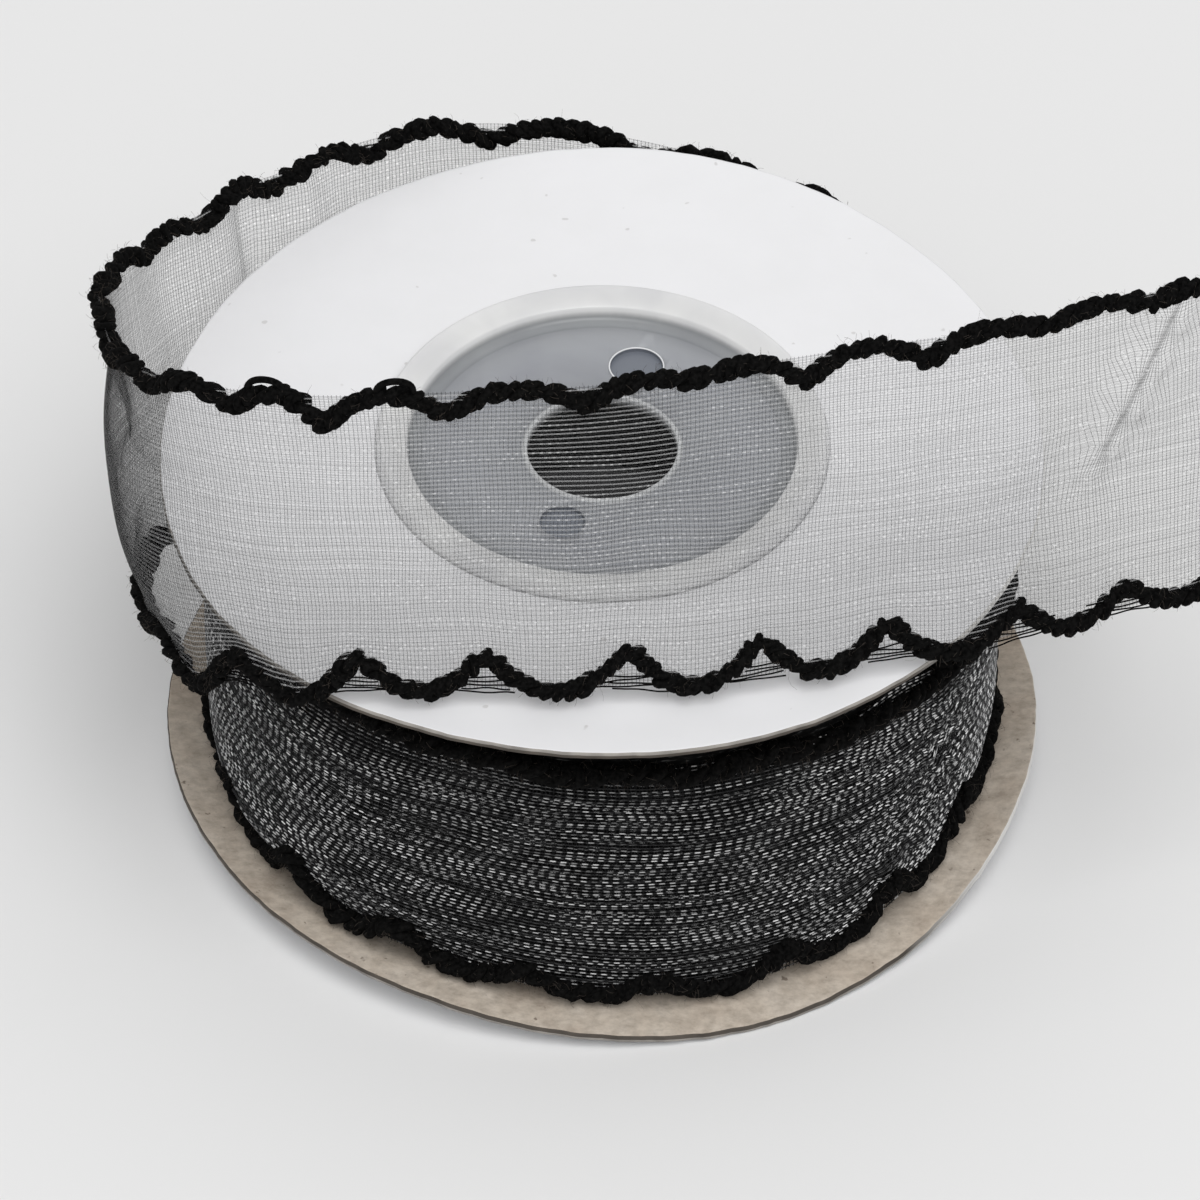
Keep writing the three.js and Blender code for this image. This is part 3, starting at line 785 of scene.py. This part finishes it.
crochet_tree, given = tree_of(
    "crochet",
    (
        ("Stitch pitch", "Float"), ("Loop length", "Float"), ("Loop width", "Float"), ("Strand radius", "Float"),
        ("Core radius", "Float"), ("Seed", "Int"), ("Material", "Material"),
    ),
)
tree = crochet_tree
guide = node(tree, "GeometryNodeMeshToCurve", i0=given["Geometry"])
by_length = {"mode": "LENGTH"}
stitches = node(
    tree, "GeometryNodeCurveToPoints", by_length, Curve=guide.outputs[0], Length=given["Stitch pitch"]
)
loop = node(tree, "GeometryNodeCurvePrimitiveCircle", Resolution=12, Radius=1.0)
half_width = reckoned(tree, "MULTIPLY", given["Loop width"], 0.5)
half_length = reckoned(tree, "MULTIPLY", given["Loop length"], 0.5)
size = node(tree, "ShaderNodeCombineXYZ", X=half_width, Y=half_length, Z=1.0)
oval = node(tree, "GeometryNodeTransform", Geometry=loop.outputs[0], Scale=size.outputs[0])
upright = node(tree, "GeometryNodeTransform", Geometry=oval.outputs[0], Rotation=(math.pi / 2, 0.0, 0.0))
strand = node(tree, "GeometryNodeCurvePrimitiveCircle", Resolution=7, Radius=given["Strand radius"])
stitch = node(tree, "GeometryNodeCurveToMesh", Curve=upright.outputs[0], Profile_Curve=strand.outputs[0])
tilt = node(tree, "FunctionNodeRandomValue", {"data_type": "FLOAT_VECTOR"}, Seed=given["Seed"])
tilt.inputs[0].default_value = (0.35, -0.25, -1.1)
tilt.inputs[1].default_value = (0.75, 0.25, 1.1)
turned = node(tree, "FunctionNodeEulerToRotation", i0=tilt.outputs[0])
lie = node(
    tree, "FunctionNodeRotateRotation", {"rotation_space": "LOCAL"},
    i0=stitches.outputs["Rotation"], i1=turned.outputs[0],
)
grow = node(tree, "FunctionNodeRandomValue", {"data_type": "FLOAT"}, i2=0.9, i3=1.14, Seed=given["Seed"])
chain = node(
    tree, "GeometryNodeInstanceOnPoints", Points=stitches.outputs["Points"], Instance=stitch.outputs[0],
    Rotation=lie.outputs[0], Scale=grow.outputs[1],
)
heart = node(tree, "GeometryNodeCurvePrimitiveCircle", Resolution=6, Radius=given["Core radius"])
inner = node(tree, "GeometryNodeCurveToMesh", Curve=guide.outputs[0], Profile_Curve=heart.outputs[0], Fill_Caps=True)
both = tree.nodes.new("GeometryNodeJoinGeometry")
tree.links.new(chain.outputs[0], both.inputs[0])
tree.links.new(inner.outputs[0], both.inputs[0])
finished_tree(tree, both.outputs[0], given)

fuzz_tree, given = tree_of(
    "fuzz",
    (
        ("Fibre spacing", "Float"), ("Fibre length", "Float"), ("Fibre radius", "Float"),
        ("Seed", "Int"), ("Material", "Material"),
    ),
)
tree = fuzz_tree
guide = node(tree, "GeometryNodeMeshToCurve", i0=given["Geometry"])
roots = node(
    tree, "GeometryNodeCurveToPoints", by_length, Curve=guide.outputs[0], Length=given["Fibre spacing"]
)
arc = node(
    tree, "GeometryNodeCurveQuadraticBezier",
    Resolution=4, Start=(0.0, 0.0, 0.0), Middle=(0.3, 0.1, 0.75), End=(-0.3, 0.25, 0.95),
)
arc_size = node(tree, "GeometryNodeTransform", Geometry=arc.outputs[0])
tree.links.new(given["Fibre length"], arc_size.inputs["Scale"])
hair_round = node(tree, "GeometryNodeCurvePrimitiveCircle", Resolution=3, Radius=given["Fibre radius"])
hair = node(
    tree, "GeometryNodeCurveToMesh",
    Curve=arc_size.outputs[0], Profile_Curve=hair_round.outputs[0], Fill_Caps=True,
)
heading = node(tree, "FunctionNodeRandomValue", {"data_type": "FLOAT_VECTOR"}, Seed=given["Seed"])
heading.inputs[0].default_value = (-math.pi, -math.pi, -math.pi)
heading.inputs[1].default_value = (math.pi, math.pi, math.pi)
any_way = node(tree, "FunctionNodeEulerToRotation", i0=heading.outputs[0])
reach = node(tree, "FunctionNodeRandomValue", {"data_type": "FLOAT"}, i2=0.6, i3=1.1, Seed=given["Seed"])
hairs = node(
    tree, "GeometryNodeInstanceOnPoints", Points=roots.outputs["Points"], Instance=hair.outputs[0],
    Rotation=any_way.outputs[0], Scale=reach.outputs[1],
)
finished_tree(tree, hairs.outputs[0], given)


def crocheted(name, path, closed, seed, size):
    quiet = np.zeros((len(path), 3))
    return grown(
        guide_lines(name, [(path, quiet, closed)]), crochet_tree, Stitch_pitch=1.3e-3 * size,
        Loop_length=2.35e-3 * size, Loop_width=1.5e-3 * size, Strand_radius=0.5e-3 * size,
        Core_radius=0.7e-3 * size, Seed=seed, Material=yarn,
    )


def make_edging(name, path, closed, seed, size, node_name, extras=()):
    """A crocheted edge along a path, with its fuzz, in place of its plain solid."""
    edge = crocheted(name, path, closed, seed, size)
    if extras:
        joined(edge, list(extras))
    quiet = np.zeros((len(path), 3))
    short = grown(
        guide_lines(name + "_fuzz", [(path, quiet, closed)]), fuzz_tree, Fibre_spacing=0.075e-3,
        Fibre_length=1.75e-3 * size, Fibre_radius=0.012e-3, Seed=seed + 1, Material=fuzz,
    )
    long = grown(
        guide_lines(name + "_stray", [(path, quiet, closed)]), fuzz_tree, Fibre_spacing=3.0e-3,
        Fibre_length=2.8e-3 * size, Fibre_radius=0.009e-3, Seed=seed + 2, Material=fuzz,
    )
    joined(short, [long])
    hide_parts(node_name)
    for piece in (edge, short):
        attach(piece, "root")
    return edge, short


edging_azimuths = np.arange(0, 360, 0.75)


def ring_path(radii, heights):
    turn = np.radians(edging_azimuths)
    return np.stack([radii * np.cos(turn), radii * np.sin(turn), heights], -1)


sides = squeeze(edging_azimuths)
inner_heights = np.array([inner_edge_height(a) for a in edging_azimuths])
inner_edge = crocheted("wound_edge_inner", ring_path(inner_edge_radius - sides, inner_heights), True, 64, 1.0)
lower_dips = winding_dip(edging_azimuths, lower_phase)
spread = 0.5 * np.exp(-(((edging_azimuths - 224) / 30) ** 2))
pressed = 0.3 * np.exp(-(((edging_azimuths - 198) / 14) ** 2))
lower_out = spread + 0.22 * lower_dips - sides - pressed
upper_rise = -0.22 * winding_dip(edging_azimuths, upper_phase)
upper_out = flare(edging_azimuths) - sides
for name, node_name, crest, rise, out, seed, extras in (
    ("wound_edge_lower", "winding_edging_lower", lower_crest_height, lower_dips, lower_out, 61, ()),
    ("wound_edge_upper", "winding_edging_upper", upper_crest_height, upper_rise, upper_out, 67, (inner_edge,)),
):
    heights = np.array([crest(a) for a in edging_azimuths]) + rise
    make_edging(name, ring_path(edging_radius + out, heights), True, seed, 1.0, node_name, extras)


# Loose end
# The same cloth, unwound: it leaves the roll at the back, climbs over the left of the upper board
# and stands on its edge across the front of it. Its cut end hangs free at the right.
loose_stations = (
    (32.2, 27.1, 3.5, 0, 0), (21.0, 40.8, 3.6, 0, 0), (9.0, 45.5, 4.6, 0, 0.2), (-4.0, 46.0, 7.3, 0, 0.4),
    (-16.0, 43.0, 9.9, -0.3, 0.8), (-27.2, 34.2, 12.9, -1.8, 1.4), (-32.8, 27.0, 15.0, -2.3, 1.9),
    (-38.0, 18.5, 17.2, -3.2, 2.8), (-41.4, 11.2, 19.8, -4.0, 3.9), (-43.8, 4.6, 22.4, -4.0, 5.1),
    (-45.2, -2.5, 25.4, -3.7, 5.9), (-44.9, -12.0, 29.6, -4.3, 6.8), (-41.0, -25.0, 35.4, -4.7, 7.2),
    (-35.0, -32.4, 39.4, -3.9, 6.6), (-25.0, -36.6, 42.1, -2.2, 5.8), (-14.0, -37.2, 42.3, -0.6, 6.8),
    (0.0, -37.1, 42.3, 0, 8.0), (12.0, -36.0, 42.2, 0.4, 10.2), (24.0, -33.5, 42.2, 0.2, 10.4),
    (36.0, -30.9, 42.0, -0.2, 10.4), (48.0, -26.8, 42.0, -0.6, 9.8), (64.0, -20.5, 42.0, -0.4, 9.2),
)
lower_notches = (
    (-6, 2.0), (7, 2.4), (20, 2.0), (33, 2.6), (46, 2.2), (59, 2.6), (72, 2.0), (85, 2.4), (97, 2.2), (108.5, 1.8),
    (119.9, 1.6), (134.5, 2.2), (149.5, 3.0), (163.4, 3.6), (176.2, 3.8), (190.4, 4.1), (203.5, 3.9), (215.9, 3.7),
    (228.8, 3.2), (239.6, 2.6), (252, 2.8), (265, 2.6),
)
upper_notches = (
    (-4, 2.2), (9, 2.4), (22, 2.0), (35.2, 2.4), (51.9, 2.3), (65.2, 2.0), (77.9, 1.8), (88.9, 1.5), (99.4, 1.4),
    (109, 1.2), (118.8, 1.6), (131, 2.7), (143, 1.6), (153.3, 1.9), (162.1, 3.3), (173, 2.4), (186.4, 1.8),
    (196.5, 0.7), (207.4, 2.6), (219.5, 2.2), (231.7, 1.0), (242.6, 1.1), (254.5, 1.3), (267, 1.2),
)
loose_folds = (
    (126, 6, 130, 23, 15, 1.5), (119, 33, 133, 24, 7, -1.1), (247.5, 35, 236.5, 15, 0.9, 1.6),
    (206, 9, 246, 15, 5.0, -1.1), (82, 35, 80, 10, 2.2, 1.3), (74, 35, 72, 12, 2.6, -1.0), (96, 32, 92, 10, 5.0, 1.0),
)


def centripetal_curve(points, parameters):
    """A centripetal Catmull-Rom curve through points, at parameters from 0 to 1."""
    points = np.asarray(points, float)
    padded = np.vstack([2 * points[0] - points[1], points, 2 * points[-1] - points[-2]])
    at = np.asarray(parameters) * (len(points) - 1)
    span = np.minimum(at.astype(int), len(points) - 2)
    t = (at - span)[:, None]
    p0, p1, p2, p3 = (padded[span + k] for k in range(4))
    d0, d1, d2 = (np.linalg.norm(b - a, axis=1)[:, None] ** 0.5 for a, b in ((p0, p1), (p1, p2), (p2, p3)))
    m1 = ((p1 - p0) / d0 - (p2 - p0) / (d0 + d1) + (p2 - p1) / d1) * d1
    m2 = ((p2 - p1) / d1 - (p3 - p1) / (d1 + d2) + (p3 - p2) / d2) * d1
    return p1 + m1 * t + (3 * (p2 - p1) - 2 * m1 - m2) * t**2 + (2 * (p1 - p2) + m1 + m2) * t**3


stations = np.array(loose_stations)
lean = stations[:, 3:]
rise = np.sqrt(crest_width**2 - (lean**2).sum(1))
fine = np.linspace(0, 1, 4001)
low_line = centripetal_curve(stations[:, :3], fine)
high_line = centripetal_curve(stations[:, :3] + np.column_stack([lean, rise]), fine)
middle_line = (low_line + high_line) / 2
run = np.concatenate([[0], np.cumsum(np.linalg.norm(np.diff(middle_line, axis=0), axis=1))])
loose_length = run[-1]
even = np.arange(0, loose_length, 0.25)
low_line, high_line = (
    np.column_stack([np.interp(even, run, line[:, k]) for k in range(3)]) for line in (low_line, high_line)
)
across_line = high_line - low_line
forward = np.gradient(low_line, axis=0) + np.gradient(high_line, axis=0)
normal_line = np.cross(forward, across_line)
normal_line /= np.linalg.norm(normal_line, axis=1)[:, None]


def fold_depth(along, up):
    depth = 0.0
    for along0, up0, along1, up1, half_width, deep in loose_folds:
        run_along, run_up = along1 - along0, up1 - up0
        length = math.hypot(run_along, run_up)
        t = ((along - along0) * run_along + (up - up0) * run_up) / length**2
        aside = ((along - along0) * run_up - (up - up0) * run_along) / length
        depth = depth + deep * np.maximum(0, 1 - (2 * t - 1) ** 4 / 2) * np.exp(-((aside / half_width) ** 2))
    return depth


def cloth_points(along, up, aside=0.0):
    """Points of the loose cloth, by millimetres along it and up from its lower yarn edge, which
    droops where nothing holds it beside the upper board."""
    along, up = np.broadcast_arrays(np.asarray(along, float), np.asarray(up, float))
    droop = 2.3 * np.exp(-(((along - 141) / 5.5) ** 2)) + 1.4 * np.exp(-(((along - 156.5) / 4.5) ** 2))
    up = up - droop * (1 - up / 12).clip(0, 1)
    low, across, normal = (
        np.stack([np.interp(along, even, line[:, k]) for k in range(3)], -1)
        for line in (low_line, across_line, normal_line)
    )
    return low + across * (up / crest_width)[..., None] + normal * (aside + fold_depth(along, up))[..., None]


def loose_dip(notches, along):
    places, depths = np.array(notches).T
    k = np.searchsorted(places, along, side="right")
    t = (along - places[k - 1]) / (places[k] - places[k - 1])
    return np.where(t < 0.5, depths[k - 1], depths[k]) * notch_shape(t)


# Seen against the light each single thread lets some of it through, so that its body is part clear.
# The black rows are painted pale grey, a painted sheen where the lengthwise threads catch the light along their
# length. Their glints are painted highlights, and the shine levels paint light on the back part and shade across the
# left bend.
loose_lengthwise = thread_material(
    "loose_lengthwise_thread", (0.5, 0.5, 0.502), (1.0, 1.0, 1.0), (0.0, 0.15, 0.4, 0.6), 0.7,
    ((0, 0.92), (120, 0.92), (142, 0.12), (170, 0.12), (188, 0.5)), Alpha=0.27
)
# The dark threads halfway between the rows are painted shade: they stand for the rows' shadows on the cloth.
loose_shaded = material("loose_shaded_thread", (0.013, 0.013, 0.014), 0.5, Alpha=0.17)
loose_crosswise = material("loose_crosswise_thread", (0.013, 0.013, 0.014), 0.5, Alpha=0.26)
sway_along = waves(71, 12, 70, 9)
sway_up = waves(73, 12, 70, 9)
cloth_bottom = 0.8
cloth_top = crest_width + 0.35
row_points = 118


def loose_rows(offset):
    draw = np.random.default_rng(75)
    rows = round((cloth_top - cloth_bottom) / row_pitch)
    along = np.linspace(0, loose_length - 0.3, row_points)
    lines = []
    for row in range(rows):
        place = row + offset + draw.uniform(-0.14, 0.14)
        flat_up = cloth_bottom + (cloth_top - cloth_bottom) * place / rows
        free = max(0, math.sin(math.pi * flat_up / crest_width))
        up = flat_up + 0.32 * sway_up(along, flat_up) * free
        near_edge = math.exp(-max(0, flat_up - 3) / 3.5) * min(1, flat_up / 3)
        up = up + 0.25 * loose_dip(lower_notches, along) * near_edge
        cells = along / (2 * column_pitch) + 0.5 * (row % 2)
        woven = np.stack([cells, np.full(row_points, row), np.zeros(row_points)], -1)
        lines.append((cloth_points(along, up, 0.04), woven, False))
    return lines


def loose_columns():
    draw = np.random.default_rng(77)
    columns = round(loose_length / column_pitch)
    up = np.linspace(cloth_bottom - 0.1, cloth_top + 0.05, 12)
    lines = []
    for column in range(columns):
        flat_along = (column + 0.5 + draw.uniform(-0.12, 0.12)) / columns * (loose_length - 0.4)
        moved = flat_along + 0.35 * sway_along(flat_along, up) * np.sin(np.pi * up / crest_width)
        beside = moved - (246.5 - 0.55 * (35 - up))
        moved = moved - 0.86 * beside * np.exp(-((beside / 2.8) ** 4)) * np.clip((up - 13) / 6, 0, 1)
        moved = moved.clip(0, loose_length - 0.3)
        lines.append((cloth_points(moved, up, -0.04), np.tile((0.0, column, 1.0), (12, 1)), False))
    return lines


loose_cloth = grown(
    guide_lines("loose_cloth", loose_rows(0.25)), thread_tree, Thread_radius=0.1e-3, Sides=3, Material=loose_lengthwise
)
# Rows of painted shade at half pitch between the lit rows.
loose_dark = grown(
    guide_lines("loose_dark", loose_rows(0.75)), thread_tree, Thread_radius=0.08e-3, Sides=3, Material=loose_shaded
)
loose_weft = grown(
    guide_lines("loose_weft", loose_columns()), thread_tree, Thread_radius=0.055e-3, Sides=3, Material=loose_crosswise
)
joined(loose_cloth, [loose_dark, loose_weft])
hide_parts("loose_end")
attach(loose_cloth, "root")


# Crocheted yarn edges of the loose end
# The same chain of soft loops. Strands of it catch the cloth beside the lower edge, and at two
# scallops of the upper edge a loop stands open.
def catching_strands():
    """Short strands of yarn that run straight along the cloth's own edge, under each notch."""
    draw = np.random.default_rng(83)
    lines = []
    for place, depth in lower_notches:
        for level in (0.5, 0.85, 1.2, 1.6, 2.0):
            start, end = place - draw.uniform(1.5, 4.2), place + draw.uniform(1.5, 4.2)
            along = np.linspace(start, end, 10).clip(0.5, loose_length - 0.5)
            up = level + 0.12 * sway_up(4 * along, 20 * level) + 0.1 * (along - place) * draw.uniform(-1, 1)
            if start < loose_length - 4 and end > 3:
                lines.append((cloth_points(along, up, 0.16), np.zeros((10, 3)), False))
    return grown(
        guide_lines("catching_strands", lines), thread_tree, Thread_radius=0.085e-3, Sides=5, Material=yarn
    )


def open_loops():
    """Loops of yarn that stand open over a scallop."""
    lines = []
    for centre, half, height in ((157.0, 1.75, 1.35), (168.6, 1.65, 1.3)):
        turn = np.linspace(0, math.pi, 15)
        along = centre - half * np.cos(turn)
        up = crest_width + 0.7 + height * np.sin(turn) ** 0.8
        lines.append((cloth_points(along, up, 0.3), np.zeros((15, 3)), False))
    return grown(guide_lines("open_loops", lines), thread_tree, Thread_radius=0.34e-3, Sides=8, Material=yarn)


loose_edging_size = 0.87
loose_edges = []
edge_along = np.arange(0, loose_length - 0.3, 0.5)
for name, node_name, notches, base, sign, seed, extra in (
    ("loose_edge_lower", "loose_edging_lower", lower_notches, 0.35, 1, 81, catching_strands()),
    ("loose_edge_upper", "loose_edging_upper", upper_notches, crest_width + 0.3, -0.9, 87, open_loops()),
):
    up = base + sign * loose_dip(notches, edge_along)
    path = cloth_points(edge_along, up)
    loose_edges += make_edging(name, path, False, seed, loose_edging_size, node_name, (extra,))
